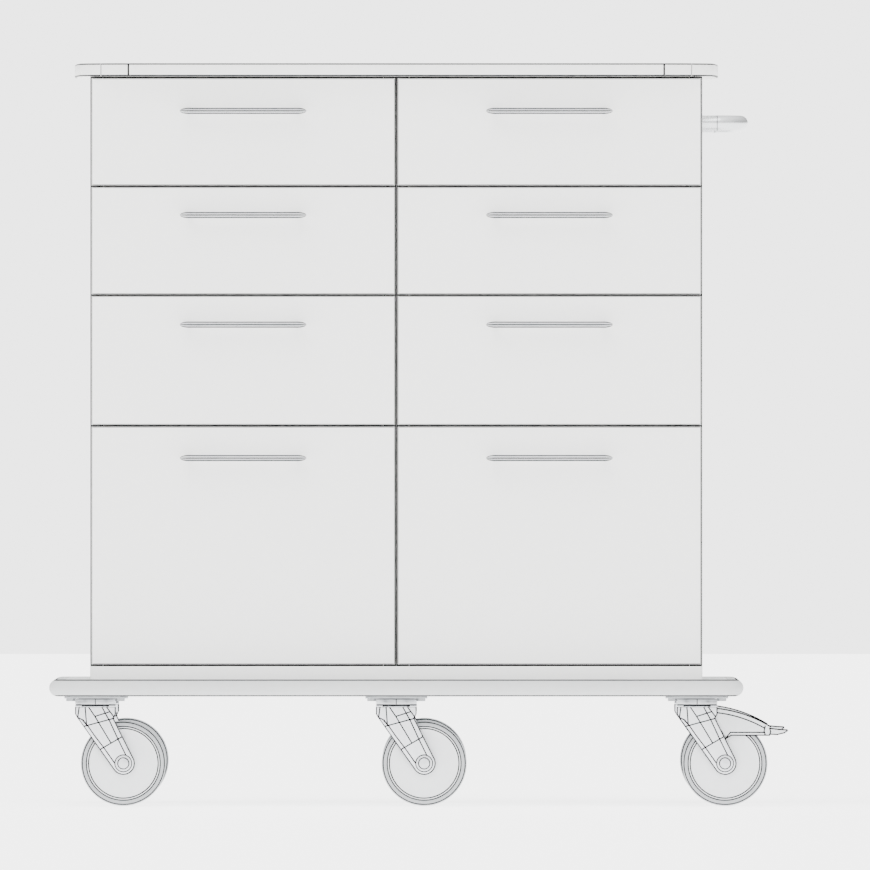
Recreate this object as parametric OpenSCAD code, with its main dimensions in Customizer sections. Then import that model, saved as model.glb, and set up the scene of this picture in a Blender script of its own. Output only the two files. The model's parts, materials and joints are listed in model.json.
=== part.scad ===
// Instrument cart: two drawer modules side by side under one worktop, on a bumper base with
// six swivel casters. X is the length, with the push handle at +X. The drawers open towards -Y.
// Z is up from the floor. The origin is on the floor, under the middle of the whole outline.

/* [Cabinet] */
// Width of one drawer module
module_w = 450; // [440:5:460]
// Depth of a module, from its front edge to its back
module_d = 600; // [590:5:620]
// Thickness of the cabinet boards, worktop and plinth
board = 19; // [18:1:20]
// Thickness of the back panels
back_t = 12; // [9:1:15]
// Height step of the drawer rows
row_step = 32; // [31:0.5:33]
// Height of each drawer row in steps, from the top row down
row_steps = [5, 5, 6, 11]; // [5:1:11]
// Depth of the top rails
rail_d = 90; // [70:5:110]

/* [Drawers] */
// Gap between two fronts, one above the other
front_gap = 3; // [2.5:0.5:3.5]
// Gap from the side of a front to the edge of its module
front_reveal = 2; // [1.5:0.5:2.5]
// Gap between the back of a front and the module
front_clear = 1; // [1:0.5:2]
// Thickness of the sides of a drawer box
box_side_t = 13; // [12:1:15]
// Thickness of the floor of a drawer box
box_floor_t = 8; // [6:1:10]
// Length of a drawer box and of its runners
box_l = 550; // [500:10:560]
// Height of a drawer box below the top of its front
box_drop = 30; // [28:1:40]
// Height of a drawer box's floor above the bottom of its front
box_rise = 20; // [18:1:24]
// Width of a runner pair member stack, from module side to drawer box
runner_w = 12.7; // [12.7:0.1:13.5]
// Height of a runner
runner_h = 45; // [44:1:46]
// Height of a runner's middle above the drawer box's underside
runner_rise = 32; // [30:1:40]

/* [Pulls and push handle] */
// Length of a pull
pull_l = 186; // [176:2:196]
// Height of a pull's bar
pull_h = 9; // [8:0.5:10]
// Depth of a pull's bar
pull_bar_d = 7; // [6:0.5:8]
// Distance from a front to the outside of its pull
pull_reach = 30; // [26:1:34]
// Distance between a pull's two screws
pull_pitch = 160; // [160:32:160]
// Distance from the top of each row's front down to the middle of its pull
pull_drops = [48, 41, 42, 46]; // [36:1:60]
// Outside diameter of the push handle's tube
handle_d = 22; // [20:1:24]
// Wall thickness of the push handle's tube
handle_wall = 1.5; // [1.5:0.5:2]
// Distance from the module's side to the outside of the push handle
handle_reach = 67.5; // [62:0.5:75]
// Radius of the push handle's bends, at the middle of the tube
handle_bend_r = 35; // [30:1:40]
// Distance between the push handle's two ends
handle_pitch = 480; // [400:32:480]
// Height of the push handle above the floor
handle_z = 1004; // [960:1:1010]

/* [Worktop and base] */
// How far the worktop stands out past the modules and the fronts
top_overhang = 25; // [20:1:30]
// How far the base stands out past the modules and the fronts
base_overhang = 60; // [50:1:70]
// Thickness of the base and its bumper
base_t = 25; // [24:1:26]
// Width of the bumper strip round the base
bumper_w = 24; // [20:1:28]
// Plan radius of the base board's corners
base_corner_r = 12; // [10:1:20]

/* [Casters] */
// Diameter of a caster wheel
wheel_d = 125; // [123:1:125]
// Width of a caster wheel's tyre
wheel_w = 30; // [28:1:30]
// Diameter of a wheel's rim, under its tyre
rim_d = 109; // [106:1:110]
// Distance from the floor to the top of a caster's plate
caster_h = 161; // [161:1:163]
// Distance from a caster's swivel axis to its axle
trail = 41; // [40:1:42]
// Distance from the end of the base to the nearest swivel axis
caster_inset = 68; // [66:1:72]
// Side of a caster's square plate
plate_w = 91; // [88:1:94]
// Thickness of a caster's plate
plate_t = 3; // [3:0.5:3.5]
// Diameter of a caster's swivel head
head_d = 60; // [58:1:62]
// Thickness of a fork's legs
fork_t = 2.8; // [2.5:0.1:3]
// Radius of a fork leg's end, round the axle
fork_boss_r = 17; // [16:0.5:18]

/* [Hidden] */
sides = ["left", "right"];
rows = ["top", "upper", "middle", "bottom"];
ends = ["left", "centre", "right"];
// The casters with a brake pedal, by number
braked = [2, 5];
$fn = 64;
// Gaps: between glued or screwed pieces, between pressed pieces, and between moving ones
tiny = 0.01;
snug = 0.05;
fit = 0.3;

// Colours
board_white = "whitesmoke";
edge_grey = "gainsboro";
steel = "silver";
dark_steel = "darkgray";
tyre_grey = "gray";

// Heights, from the floor up
base_z = caster_h;
plinth_z = base_z + base_t;
module_z = plinth_z + board;
function sum(v, n = 0) = n < len(v) ? v[n] + sum(v, n + 1) : 0;
function steps_below(row) = sum(row_steps, row + 1);
module_h = sum(row_steps) * row_step + front_gap;
top_z = module_z + module_h;
cart_h = top_z + board;

// Plan sizes: the body is both modules with their fronts
body_w = 2 * module_w;
body_d = module_d + front_clear + board;
front_y = -body_d / 2;
module_y = front_y + board + front_clear;
back_y = body_d / 2;
inner_w = module_w - 2 * board;
top_l = body_w + 2 * top_overhang;
top_d = body_d + 2 * top_overhang;
base_l = body_w + 2 * base_overhang;
base_d = body_d + 2 * base_overhang;

// Drawers are numbered 0 to 7: the left column from the top down, then the right column
function column(d) = floor(d / 4);
function row(d) = d % 4;
function drawer_name(d) = str(sides[column(d)], "_", rows[row(d)], "_drawer");
function drawer_x(d) = (column(d) - 0.5) * module_w;
function front_h(d) = row_steps[row(d)] * row_step - front_gap;
function front_z(d) = module_z + front_gap + steps_below(row(d)) * row_step;
function box_h(d) = front_h(d) - box_drop - box_rise;
function box_z(d) = front_z(d) + box_rise;
front_w = module_w - 2 * front_reveal;
box_w = inner_w - 2 * runner_w;
box_y = front_y + board;
runner_l = box_l - 2;
runner_y = box_y + 2;

// Casters are numbered 0 to 5: the front row from the left, then the rear row from the left
function caster_name(c) = str(c < 3 ? "front_" : "rear_", ends[c % 3]);
function caster_x(c) = (c % 3 - 1) * (base_l / 2 - caster_inset);
function caster_y(c) = (c < 3 ? -1 : 1) * (base_d / 2 - caster_inset);
axle_z = wheel_d / 2;
head_z = caster_h - plate_t - 10;
crown_z = head_z - 3;
leg_in = wheel_w / 2 + 4;
leg_out = leg_in + fork_t;

// Brake pedal: a channel over the wheel, with a curved back and a toe plate
pedal_back_r = 190;
pedal_back_x = 9;
pedal_back_z = axle_z - 107.5;
pedal_out = wheel_w / 2 + 2.9;
pedal_wall = 1.5;
pedal_t = 2;
pedal_top_z = crown_z - 0.5;
pedal_start_x = 23;
pedal_hem_z = 103;
pedal_end_x = 107;
pedal_tip_x = 134.5;
pivot_x = 20;
pivot_z = 127;
pivot_r = 3;
pivot_ear_r = 8;
shoe_x = [58, 68];
shoe_z = axle_z + sqrt((wheel_d / 2) ^ 2 - (shoe_x[0] - trail) ^ 2) + fit;
shoe_half = wheel_w / 2 - 2;

// The toe plates of the right-hand pedals reach past the base, so the middle moves with them
reach_x = caster_x(2) + pedal_tip_x;
centre_x = (reach_x - base_l / 2) / 2;

module placed() {
    translate([-centre_x, 0, 0]) children();
}

module slab(x, y, z) {
    translate([x[0], y[0], z[0]]) cube([x[1] - x[0], y[1] - y[0], z[1] - z[0]]);
}

// A cylinder along Y, from y0 to y1
module rod_y(r, y0, y1) {
    translate([0, y0, 0]) rotate([-90, 0, 0]) cylinder(r = r, h = y1 - y0);
}

// A cylinder along X, from x0 to x1
module rod_x(r, x0, x1) {
    translate([x0, 0, 0]) rotate([0, 90, 0]) cylinder(r = r, h = x1 - x0);
}

// A profile drawn in X and Z, pulled along Y from y0 to y1
module along_y(y0, y1) {
    translate([0, y1, 0]) rotate([90, 0, 0]) linear_extrude(y1 - y0) children();
}

// ---- Worktop, modules and base ----

// Quarter of the worktop's plan: a straight front, a wide arc, a tight arc, then a bowed end
end_bow = 8;
corner_x = [81, 41, end_bow];
tight_r = 60;
bow_half = top_d / 2 - 60;
bow_r = (bow_half ^ 2 + end_bow ^ 2) / (2 * end_bow);
bow_turn = asin(bow_half / bow_r);
wide_turn = asin(cos(bow_turn) - (corner_x[1] - corner_x[2]) / tight_r);
wide_r = (corner_x[0] - corner_x[1]) / sin(wide_turn);
wide_drop = wide_r * (1 - cos(wide_turn));
tight_centre = [
    top_l / 2 - corner_x[1] - tight_r * sin(wide_turn),
    top_d / 2 - wide_drop - tight_r * cos(wide_turn)];
bow_start = tight_centre[1] + tight_r * sin(bow_turn);
bow_x = top_l / 2 - bow_r;

function arc(c, r, a0, a1, n) = [for (i = [0 : n]) let (a = a0 + (a1 - a0) * i / n)
    [c[0] + r * cos(a), c[1] + r * sin(a)]];

top_quarter = concat(
    arc([bow_x, 0], bow_r, 0, asin(bow_start / bow_r), 6),
    arc(tight_centre, tight_r, bow_turn + 4, 90 - wide_turn, 12),
    arc([top_l / 2 - corner_x[0], top_d / 2 - wide_r], wide_r, 90 - wide_turn + 2, 90, 6));

function flip(points, x, y) = [for (p = points) [p[0] * x, p[1] * y]];
function backwards(points) = [for (i = [len(points) - 1 : -1 : 0]) points[i]];

top_outline = concat(
    top_quarter, backwards(flip(top_quarter, -1, 1)),
    flip(top_quarter, -1, -1), backwards(flip(top_quarter, 1, -1)));

top_screw_r = 2;
top_screws = [for (x = [-0.75, -0.25, 0.25, 0.75], y = [module_y + rail_d / 2,
    back_y - back_t - rail_d / 2]) [x * body_w / 2, y]];

module worktop() {
    color(board_white) placed() difference() {
        translate([0, 0, top_z]) linear_extrude(board) polygon(top_outline);
        for (p = top_screws) translate([p[0], p[1], top_z - tiny])
            cylinder(r = top_screw_r + tiny, h = 13);
    }
}

connector_r = 3;
connectors = [for (y = [module_y + 120, back_y - 120],
    z = [module_z + 100, top_z - 45]) [y, z]];

handle_screw_r = 3;

module side_panel(x) {
    slab([x, x + board], [module_y, back_y], [module_z, top_z]);
}

module left_outer_side() {
    color(board_white) placed() side_panel(-module_w);
}

module right_outer_side() {
    color(board_white) placed() difference() {
        side_panel(module_w - board);
        for (s = [-1, 1]) translate([0, s * handle_pitch / 2, handle_z])
            rod_x(handle_screw_r, module_w - board - tiny, module_w + tiny);
    }
}

module inner_sides() {
    color(board_white) placed() difference() {
        union() {
            for (x = [[-board, -tiny], [tiny, board]])
                slab(x, [module_y, back_y], [module_z, top_z]);
        }
        for (p = connectors) translate([0, p[0], p[1]])
            rod_x(connector_r, -board - 1, board + 1);
    }
}

module module_bottoms() {
    color(board_white) placed() for (s = [-1, 1]) translate([s * module_w / 2, 0, 0])
        slab([-inner_w / 2, inner_w / 2], [module_y, back_y - back_t], [module_z, module_z + board]);
}

module module_backs() {
    color(board_white) placed() for (s = [-1, 1]) translate([s * module_w / 2, 0, 0])
        slab([-inner_w / 2, inner_w / 2], [back_y - back_t, back_y], [module_z, top_z]);
}

module top_rails() {
    color(board_white) placed() difference() {
        for (s = [-1, 1], y = [module_y, back_y - back_t - rail_d])
            translate([s * module_w / 2, 0, 0])
                slab([-inner_w / 2, inner_w / 2], [y, y + rail_d], [top_z - board, top_z]);
        for (p = top_screws) translate([p[0], p[1], top_z - board - tiny])
            cylinder(r = top_screw_r + tiny, h = board + 1);
    }
}

module plinth_panel() {
    color(board_white) placed()
        slab([-body_w / 2, body_w / 2], [front_y, back_y], [plinth_z, plinth_z + board]);
}

module rounded_plan(l, d, r, z0, z1) {
    translate([0, 0, z0]) {
        slab([-l / 2 + r, l / 2 - r], [-d / 2, d / 2], [0, z1 - z0]);
        slab([-l / 2, l / 2], [-d / 2 + r, d / 2 - r], [0, z1 - z0]);
        for (x = [-1, 1], y = [-1, 1]) translate([x * (l / 2 - r), y * (d / 2 - r), 0])
            cylinder(r = r, h = z1 - z0);
    }
}

core_l = base_l - 2 * bumper_w;
core_d = base_d - 2 * bumper_w;

module base_board() {
    color(board_white) placed() difference() {
        rounded_plan(core_l, core_d, base_corner_r, base_z, base_z + base_t);
        for (c = [0 : 5], p = plate_bolts)
            translate([caster_x(c) + p[0], caster_y(c) + p[1], base_z - tiny])
                cylinder(r = bolt_r + snug, h = bolt_l + tiny);
    }
}

// Half-round nose with a flat band behind it
module bumper_profile() {
    translate([0, base_z]) square([bumper_w - base_t / 2, base_t]);
    translate([bumper_w - base_t / 2, base_z + base_t / 2]) intersection() {
        circle(r = base_t / 2);
        translate([0, -base_t]) square([base_t, 2 * base_t]);
    }
}

module bumper_run(l) {
    rotate([90, 0, 0]) linear_extrude(l, center = true) bumper_profile();
}

module base_bumper() {
    r = base_corner_r;
    color(edge_grey) placed() {
        for (s = [0, 180]) rotate([0, 0, s]) {
            translate([core_l / 2, 0, 0]) bumper_run(core_d - 2 * r);
            rotate([0, 0, 90]) translate([core_d / 2, 0, 0]) bumper_run(core_l - 2 * r);
        }
        for (x = [-1, 1], y = [-1, 1]) translate([x * (core_l / 2 - r), y * (core_d / 2 - r), 0])
            rotate([0, 0, x > 0 ? (y > 0 ? 0 : 270) : (y > 0 ? 90 : 180)])
                rotate_extrude(angle = 90) translate([r, 0]) bumper_profile();
    }
}

// ---- Push handle and fasteners ----

grip_x = handle_reach - handle_d / 2;
leg_l = grip_x - handle_bend_r;

module handle_solid(r) {
    for (s = [-1, 1]) {
        translate([0, s * handle_pitch / 2, 0]) rod_x(r, 0, leg_l);
        translate([leg_l, s * (handle_pitch / 2 - handle_bend_r), 0]) rotate([0, 0, s > 0 ? 0 : 270])
            rotate_extrude(angle = 90) translate([handle_bend_r, 0]) circle(r = r);
    }
    translate([grip_x, 0, 0])
        rod_y(r, -handle_pitch / 2 + handle_bend_r, handle_pitch / 2 - handle_bend_r);
}

module push_handle() {
    color(steel) placed() translate([module_w, 0, handle_z]) difference() {
        handle_solid(handle_d / 2);
        handle_solid(handle_d / 2 - handle_wall);
    }
}

plug_l = 16;

// A screw along +X with its head's underside at x = 0
module screw_x(r, l) {
    rod_x(r, 0, l);
    rod_x(2 * r, -0.6 * r, 0);
}

module cabinet_fasteners() {
    color(steel) placed() {
        for (s = [-1, 1]) translate([module_w, s * handle_pitch / 2, handle_z]) {
            difference() {
                rod_x(handle_d / 2 - handle_wall - tiny, 0, plug_l);
                rod_x(handle_screw_r + tiny, -1, plug_l + 1);
            }
            translate([-board, 0, 0]) screw_x(handle_screw_r, board + plug_l - 2);
        }
        for (p = connectors) translate([-board, p[0], p[1]]) {
            screw_x(connector_r, 2 * board);
            rod_x(2 * connector_r, 2 * board, 2 * board + 0.6 * connector_r);
        }
        for (p = top_screws) translate([p[0], p[1], top_z - board]) rotate([0, -90, 0])
            screw_x(top_screw_r, board + 12);
    }
}

// ---- Drawer runners ----

// Three nested channels, drawn in X and Z with x = 0 on the module's side panel
wall = 1.5;
cabinet_member = [0, runner_w - 1.7, runner_h / 2];
middle_member = [2.4, runner_w - 2.3, runner_h / 2 - 3.3];
drawer_member = [5, runner_w - tiny, runner_h / 2 - 6.6];

// Channel with its web on the side towards x = 0
module channel(m) {
    difference() {
        translate([m[0], -m[2]]) square([m[1] - m[0], 2 * m[2]]);
        translate([m[0] + wall, -m[2] + wall]) square([m[1] - m[0], 2 * (m[2] - wall)]);
    }
}

// Channel with its web on the drawer's side
module drawer_channel() {
    m = drawer_member;
    translate([m[0] + m[1], 0]) mirror([1, 0]) channel(m);
}

// Both runners of drawer d, left and right
module runner_pair(d, y0, y1) {
    translate([drawer_x(d), 0, box_z(d) + runner_rise]) for (s = [0, 1]) mirror([s, 0, 0])
        translate([-inner_w / 2, 0, 0]) along_y(y0, y1) children();
}

module cabinet_runner_members() {
    color(steel) placed() for (d = [0 : 7])
        runner_pair(d, runner_y, runner_y + runner_l) channel(cabinet_member);
}

module middle_runners(d) {
    color(dark_steel) placed()
        runner_pair(d, runner_y, runner_y + runner_l) channel(middle_member);
}

// ---- Drawers ----

pull_screw_r = 2;

module pull_bores(d) {
    for (s = [-1, 1]) translate([s * pull_pitch / 2, 0, front_h(d) - pull_drops[row(d)]])
        rod_y(pull_screw_r, front_y - 1, box_y + box_side_t + 1);
}

// Floor between four walls, with the drawer members of its runners on its sides
module drawer_box(d) {
    h = box_h(d);
    y1 = box_y + box_l;
    inside = [-box_w / 2 + box_side_t + tiny, box_w / 2 - box_side_t - tiny];
    color(board_white) placed() {
        translate([drawer_x(d), 0, box_z(d)]) {
            for (s = [-1, 1]) translate([s * (box_w - box_side_t) / 2, 0, 0])
                slab([-box_side_t / 2, box_side_t / 2], [box_y, y1], [0, h]);
            slab(inside, [box_y + box_side_t + tiny, y1 - box_side_t - tiny], [0, box_floor_t]);
            slab(inside, [y1 - box_side_t, y1], [0, h]);
        }
        difference() {
            translate([drawer_x(d), 0, box_z(d)])
                slab(inside, [box_y, box_y + box_side_t], [0, h]);
            translate([drawer_x(d), 0, front_z(d)]) pull_bores(d);
        }
        runner_pair(d, runner_y, runner_y + runner_l) drawer_channel();
    }
}

module drawer_front(d) {
    color(board_white) placed() translate([drawer_x(d), 0, front_z(d)]) difference() {
        slab([-front_w / 2, front_w / 2], [front_y, front_y + board], [0, front_h(d)]);
        pull_bores(d);
    }
}

// Bow pull: a flat-sided bar on two posts, with half-round ends
module drawer_pull(d) {
    post_r = pull_h / 2;
    bar_y = front_y - pull_reach;
    color(steel) placed()
        translate([drawer_x(d), 0, front_z(d) + front_h(d) - pull_drops[row(d)]]) {
            along_y(bar_y, bar_y + pull_bar_d) {
                square([pull_l - pull_h, pull_h], center = true);
                for (s = [-1, 1]) translate([s * (pull_l - pull_h) / 2, 0]) circle(r = pull_h / 2);
            }
            for (s = [-1, 1]) translate([s * pull_pitch / 2, 0, 0]) {
                rod_y(post_r, bar_y + pull_bar_d - tiny, front_y);
                rod_y(pull_screw_r, front_y - tiny, box_y + box_side_t + tiny);
                rod_y(2 * pull_screw_r, box_y + box_side_t, box_y + box_side_t + 2);
            }
        }
}

// ---- Casters ----

bolt_r = 4;
bolt_l = 20;
bolt_pitch = 72;
plate_bolts = [for (x = [-1, 1], y = [-1, 1]) [x * bolt_pitch / 2, y * bolt_pitch / 2]];
king_r = 6;
king_nut_t = 5;
king_gap = 1;
race_r = 20;

module at_caster(c) {
    translate([caster_x(c), caster_y(c), 0]) children();
}

// The fixed half of every caster: plate, bearing race, kingpin with its nut, and four bolts
module caster_mounts() {
    plate_z = caster_h - plate_t;
    nut_z = crown_z - king_gap - king_nut_t;
    color(steel) placed() for (c = [0 : 5]) at_caster(c) {
        difference() {
            rounded_plan(plate_w, plate_w, 8, plate_z, caster_h);
            for (p = plate_bolts) translate([p[0], p[1], plate_z - 1])
                cylinder(r = bolt_r + snug, h = plate_t + 2);
            translate([0, 0, plate_z - 1]) cylinder(r = king_r + snug, h = plate_t + 2);
        }
        difference() {
            translate([0, 0, head_z + fit]) cylinder(r = race_r, h = plate_z - head_z - fit - tiny);
            translate([0, 0, head_z]) cylinder(r = king_r + snug, h = plate_t + 20);
        }
        translate([0, 0, nut_z]) cylinder(r = king_r, h = caster_h - nut_z);
        translate([0, 0, nut_z]) cylinder(r = 2 * king_r, h = king_nut_t, $fn = 6);
        for (p = plate_bolts) translate([p[0], p[1], plate_z - tiny]) {
            cylinder(r = bolt_r, h = bolt_l - 1);
            translate([0, 0, -bolt_r]) cylinder(r = 1.7 * bolt_r, h = bolt_r, $fn = 6);
        }
    }
}

// Where a line from point p touches a circle: side is 1 or -1
function tangent(p, c, r, side) =
    let (v = p - c, l = norm(v), a = atan2(v[1], v[0]) + side * acos(r / l))
    c + r * [cos(a), sin(a)];

crown_half = 26.5;
crown_foot_z = axle_z + 66.5;
axle_at = [trail, axle_z];

module leg_profile() {
    left = [-crown_half, crown_foot_z];
    right = [crown_half, crown_foot_z];
    polygon([
        [-head_d / 2, head_z - tiny], [-head_d / 2, crown_foot_z + 6], left,
        tangent(left, axle_at, fork_boss_r, 1), axle_at,
        tangent(right, axle_at, fork_boss_r, -1), right,
        [head_d / 2, crown_foot_z + 6], [head_d / 2, head_z - tiny]]);
    translate(axle_at) circle(r = fork_boss_r);
}

axle_r = 5;
axle_head_r = 9;
axle_head_t = 4;
hub_half = wheel_w / 2 + 1;
function is_braked(c) = len([for (b = braked) if (b == c) b]) > 0;

// Pressed fork with its swivel head
module fork_shell(c) {
    difference() {
        union() {
            for (s = [0, 1]) mirror([0, s, 0]) along_y(leg_in, leg_out) leg_profile();
            slab([-head_d / 2, head_d / 2], [-leg_out, leg_out], [crown_z, head_z]);
            translate([0, 0, crown_z]) cylinder(r = head_d / 2, h = caster_h - plate_t - fit - crown_z);
        }
        translate([0, 0, head_z]) cylinder(r = race_r + fit, h = 20);
        translate([0, 0, crown_z - 1]) cylinder(r = king_r + fit, h = 20);
        translate([trail, 0, axle_z]) rod_y(axle_r + snug, -leg_out - 1, leg_out + 1);
        if (is_braked(c)) translate([pivot_x, 0, pivot_z])
            rod_y(pivot_r + snug, -leg_out - 1, leg_out + 1);
    }
}

// The fork, the axle and its two spacers, and the pedal's pin on a braked caster
module caster_fork(c) {
    color(steel) placed() at_caster(c) {
        fork_shell(c);
        translate([trail, 0, axle_z]) {
            rod_y(axle_r, -leg_out - tiny, leg_out + tiny);
            for (s = [0, 1]) mirror([0, s, 0]) {
                rod_y(axle_head_r, leg_out + tiny, leg_out + axle_head_t);
                difference() {
                    rod_y(axle_head_r, hub_half + fit, leg_in - tiny);
                    rod_y(axle_r + snug, 0, leg_out);
                }
            }
        }
        if (is_braked(c)) translate([pivot_x, 0, pivot_z])
            rod_y(pivot_r, -leg_out - 1, leg_out + 1);
    }
}

tyre_edge_r = 4;

// Rim with a smooth dished cover on each side, and a tyre with rounded shoulders
module caster_wheel(c) {
    color(tyre_grey) placed() at_caster(c) translate([trail, 0, axle_z]) rotate([90, 0, 0]) {
        rotate_extrude($fn = 96) polygon([
            [axle_r + fit, -hub_half], [14, -hub_half], [16, -wheel_w / 2 + 1],
            [rim_d / 2 - 5, -wheel_w / 2 + 3], [rim_d / 2 - 3, -wheel_w / 2 + 1],
            [rim_d / 2 - snug, -wheel_w / 2 + 1], [rim_d / 2 - snug, wheel_w / 2 - 1],
            [rim_d / 2 - 3, wheel_w / 2 - 1], [rim_d / 2 - 5, wheel_w / 2 - 3],
            [16, wheel_w / 2 - 1], [14, hub_half], [axle_r + fit, hub_half]]);
        rotate_extrude($fn = 96) {
            translate([rim_d / 2, -wheel_w / 2])
                square([(wheel_d - rim_d) / 2 - tyre_edge_r, wheel_w]);
            translate([rim_d / 2, -wheel_w / 2 + tyre_edge_r])
                square([(wheel_d - rim_d) / 2, wheel_w - 2 * tyre_edge_r]);
            for (s = [-1, 1]) translate([wheel_d / 2 - tyre_edge_r, s * (wheel_w / 2 - tyre_edge_r)])
                circle(r = tyre_edge_r);
        }
    }
}

// The outside and the inside of the pedal's channel, seen from the side
module pedal_back(r) {
    translate([pedal_back_x, pedal_back_z]) circle(r = r, $fn = 360);
}

module pedal_side() {
    intersection() {
        pedal_back(pedal_back_r);
        polygon([
            [pivot_x, pivot_z - pivot_ear_r], [30, pivot_z - pivot_ear_r], [44, pedal_hem_z - 4],
            [50, pedal_hem_z], [pedal_end_x, pedal_hem_z], [pedal_end_x, pedal_top_z],
            [pedal_start_x, pedal_top_z], [pivot_x, pivot_z + pivot_ear_r]]);
    }
    translate([pivot_x, pivot_z]) circle(r = pivot_ear_r);
}

module pedal_inside() {
    intersection() {
        pedal_back(pedal_back_r - pedal_t);
        translate([0, pedal_hem_z - 40]) square([pedal_end_x - pedal_t, 100]);
    }
}

// Foot plate at the pedal's tip
module pedal_toe() {
    polygon([
        [pedal_end_x - 1, 104.5], [118, 104], [128, 106.5], [pedal_tip_x, 110.5],
        [pedal_tip_x - 1.5, 112.6], [120, 113.2], [pedal_end_x - 1, 114.5]]);
}

// The pedal is drawn pressed down, with the shoe between its walls on the tyre
module brake_pedal(c) {
    color(dark_steel) placed() at_caster(c) difference() {
        union() {
            difference() {
                along_y(-pedal_out, pedal_out) pedal_side();
                along_y(-pedal_out + pedal_wall, pedal_out - pedal_wall) pedal_inside();
            }
            along_y(-pedal_out, pedal_out) pedal_toe();
            slab(shoe_x, [-shoe_half, shoe_half], [shoe_z, shoe_z + 11]);
        }
        translate([pivot_x, 0, pivot_z]) rod_y(pivot_r + fit, -30, 30);
    }
}

worktop();
left_outer_side();
right_outer_side();
inner_sides();
module_bottoms();
module_backs();
top_rails();
plinth_panel();
base_board();
base_bumper();
push_handle();
cabinet_fasteners();
cabinet_runner_members();
caster_mounts();
for (d = [0 : 7]) {
    drawer_box(d);
    drawer_front(d);
    drawer_pull(d);
    middle_runners(d);
}
for (c = [0 : 5]) {
    caster_fork(c);
    caster_wheel(c);
}
for (c = braked) {
    brake_pedal(c);
}
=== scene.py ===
"""The looks of the instrument cart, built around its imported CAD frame.

Everything is in metres in the frame's own axes: X along the cart, the drawers open towards -Y,
Z up from the floor. Places come from the CAD nodes' boxes, sizes of details from the values below.
"""
import json
import math

import bmesh
import bpy
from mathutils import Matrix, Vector


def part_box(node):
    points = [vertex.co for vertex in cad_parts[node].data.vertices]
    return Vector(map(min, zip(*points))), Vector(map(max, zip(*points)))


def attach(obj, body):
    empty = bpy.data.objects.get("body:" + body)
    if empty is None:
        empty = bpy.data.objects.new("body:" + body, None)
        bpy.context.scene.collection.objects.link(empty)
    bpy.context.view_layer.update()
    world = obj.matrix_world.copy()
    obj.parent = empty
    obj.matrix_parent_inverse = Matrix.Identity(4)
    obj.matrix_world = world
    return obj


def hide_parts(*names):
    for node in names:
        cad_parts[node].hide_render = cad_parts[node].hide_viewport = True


MM = 0.001

# Camera: a very long lens, straight at the front
VIEW_WIDTH = 1278.4 * MM
VIEW_CENTRE_Z = 544.9 * MM
VIEW_CENTRE_FROM_BODY = 56.9 * MM
CAMERA_DISTANCE = 58.0
SENSOR = 36.0
CLIP_START = 1.0

# Light: a pale room that is brightest in front of the cart and above it, and as bright as the
# floor from the horizon down, with a soft sun from the front. Stops are a direction's Y or Z, and
# the brightness there.
ROOM_BY_Y = ((-1.0, 1.5), (0.0, 0.5), (1.0, 0.5))
ROOM_BY_Z = ((-1.0, 3.1), (0.03, 3.1), (0.05, 0.0), (1.0, 2.4))
SUN = 2.6
SUN_ANGLE = 50
SUN_TOWARDS = (0.45, 1.0, -1.4)
FLOOR_GLOW = 2.4
FLOOR_HALF = 40.0
FLOOR_DROP = 0.5 * MM

# Boards: an edge band's thickness and rounding, and how deep the bands of a drawer front run
EDGE_BAND = 1.5 * MM
BAND_ROUND = 0.3 * MM
FRONT_FRAME = 3 * MM

# Worktop plan: the three stations of each corner, measured in from the end, and how far in from
# the front the bowed end gives way to the corner. Its edge strip comes in runs with gaps between.
TOP_STATIONS = (81 * MM, 41 * MM, 8 * MM)
TOP_TIGHT_R = 60 * MM
TOP_BOW_END = 60 * MM
TRIM_T = 3 * MM
TRIM_ROUND = 2.2 * MM
TRIM_GAP = 1.8 * MM
TRIM_TURN = (0, 30, 60, 90)

# Bumper: the corner of the board it wraps, the degrees at which its half-round nose has a point,
# and the gap and the chamfer where it meets the board
BASE_CORNER = 12 * MM
CORNER_STEPS = 8
NOSE_TURN = (-84, -58, -50, -40, -30, -20, -10, 0, 10, 20, 30, 40, 50, 58, 84)
BUMPER_ROOT = 0.3 * MM
BUMPER_LIP = 0.9 * MM

# Pulls: the bar is an oval in front view, with a ridge along its face, on two flared posts
PULL_H = 9 * MM
PULL_RIDGE = 2.4 * MM
PULL_BAR_D = 7 * MM
PULL_END_RUN = 13 * MM
PULL_TIP = 0.02
PULL_PITCH = 160 * MM
PULL_POST_R = 3.6 * MM
PULL_POST_IN = 1 * MM
PULL_FLARE = 1 * MM
PULL_CORE_R = 0.2 * MM
# The head of a pull's screw in millimetres: (radius, distance along Y from its inner end)
PULL_SCREW = ((0.2, -2), (4, -2), (4, -0.7), (3, 0), (0.2, 0))

# Drawer boxes: a solid thinner and lower than this is a runner member, and the rest are boards
RUNNER_MAX_T = 10 * MM
RUNNER_MAX_H = 40 * MM

# Push handle
TUBE_R = 11 * MM
TUBE_BEND = 35 * MM
TUBE_PITCH = 480 * MM
TUBE_SIDES = 48
BEND_STEPS = 16
# A ring at the start of each bend, of near-black painted shade: its width, and how far it stands proud and sinks
SEAM = 1.0 * MM
SEAM_LIFT = 0.15 * MM
SEAM_SINK = 1 * MM

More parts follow.
